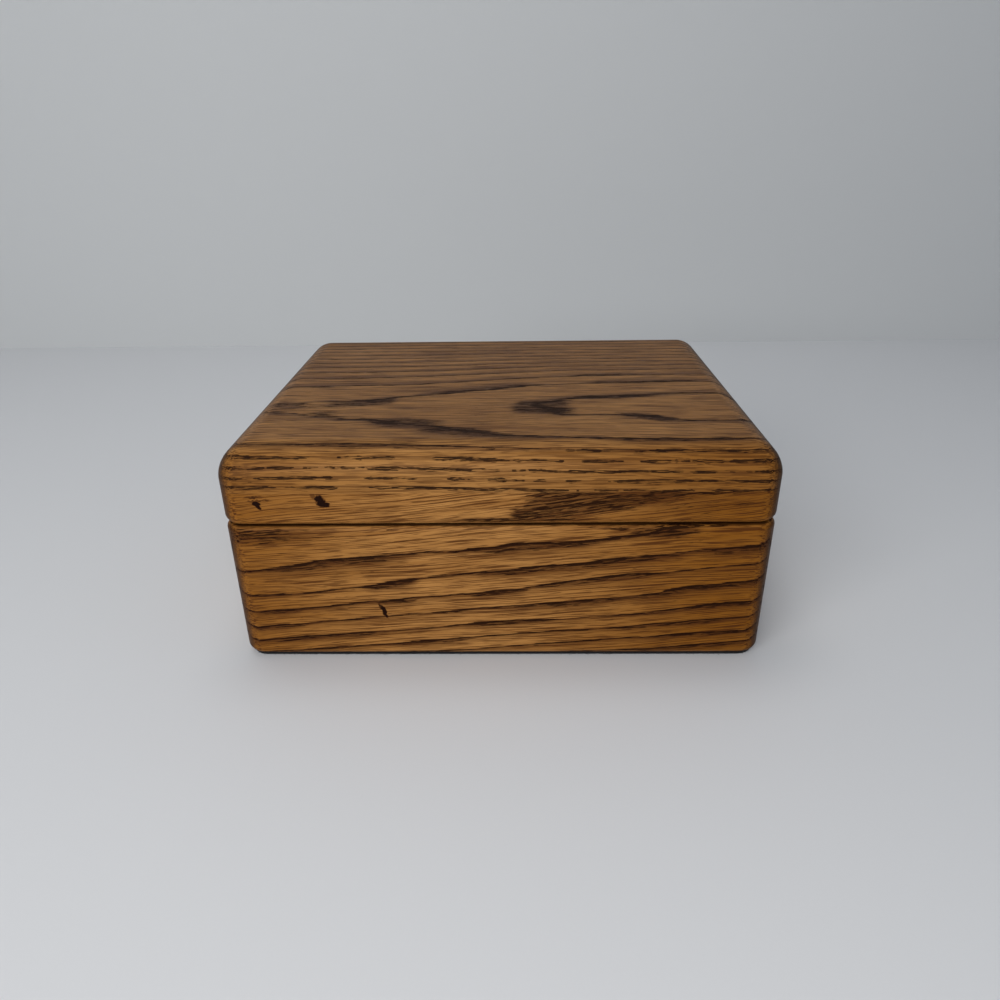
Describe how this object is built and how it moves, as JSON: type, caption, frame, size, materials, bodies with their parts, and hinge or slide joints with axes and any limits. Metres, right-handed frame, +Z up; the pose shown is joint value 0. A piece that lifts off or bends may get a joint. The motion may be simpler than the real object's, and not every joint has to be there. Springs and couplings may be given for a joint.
{
  "type": "wooden keepsake box",
  "caption": "Hinged keepsake box of stained oak with mitred corners, a rounded lid, felt lining and felt foot.",
  "frame": {"origin": "middle of the box's underside, on the surface that it stands on", "axes": "+Z up, +X along the box's width to the right of someone facing its front, front faces -Y, hinges at +Y"},
  "size_m": [0.158, 0.126, 0.0685],
  "materials": {
    "oak": "satin",
    "felt": "matt felt",
    "brass": "satin"
  },
  "bodies": {
    "base": {"base_front": "oak", "base_back": "oak", "base_left": "oak", "base_right": "oak", "base_bottom": "oak", "foot_felt": "felt", "floor_liner": "felt", "hinge_left_base_leaf": "brass", "hinge_right_base_leaf": "brass", "hinge_left_pin": "brass", "hinge_right_pin": "brass", "base_hinge_screws": "brass"},
    "lid": {"lid_top": "oak", "lid_front": "oak", "lid_back": "oak", "lid_left": "oak", "lid_right": "oak", "lid_liner": "felt", "hinge_left_lid_leaf": "brass", "hinge_right_lid_leaf": "brass", "lid_hinge_screws": "brass"}
  },
  "joints": [
    {"name": "lid_hinge", "type": "hinge", "parent": "base", "child": "lid", "pos_m": [0, 0.059, 0.0455], "axis": [-1, 0, 0], "range_deg": [0, 95]}
  ]
}
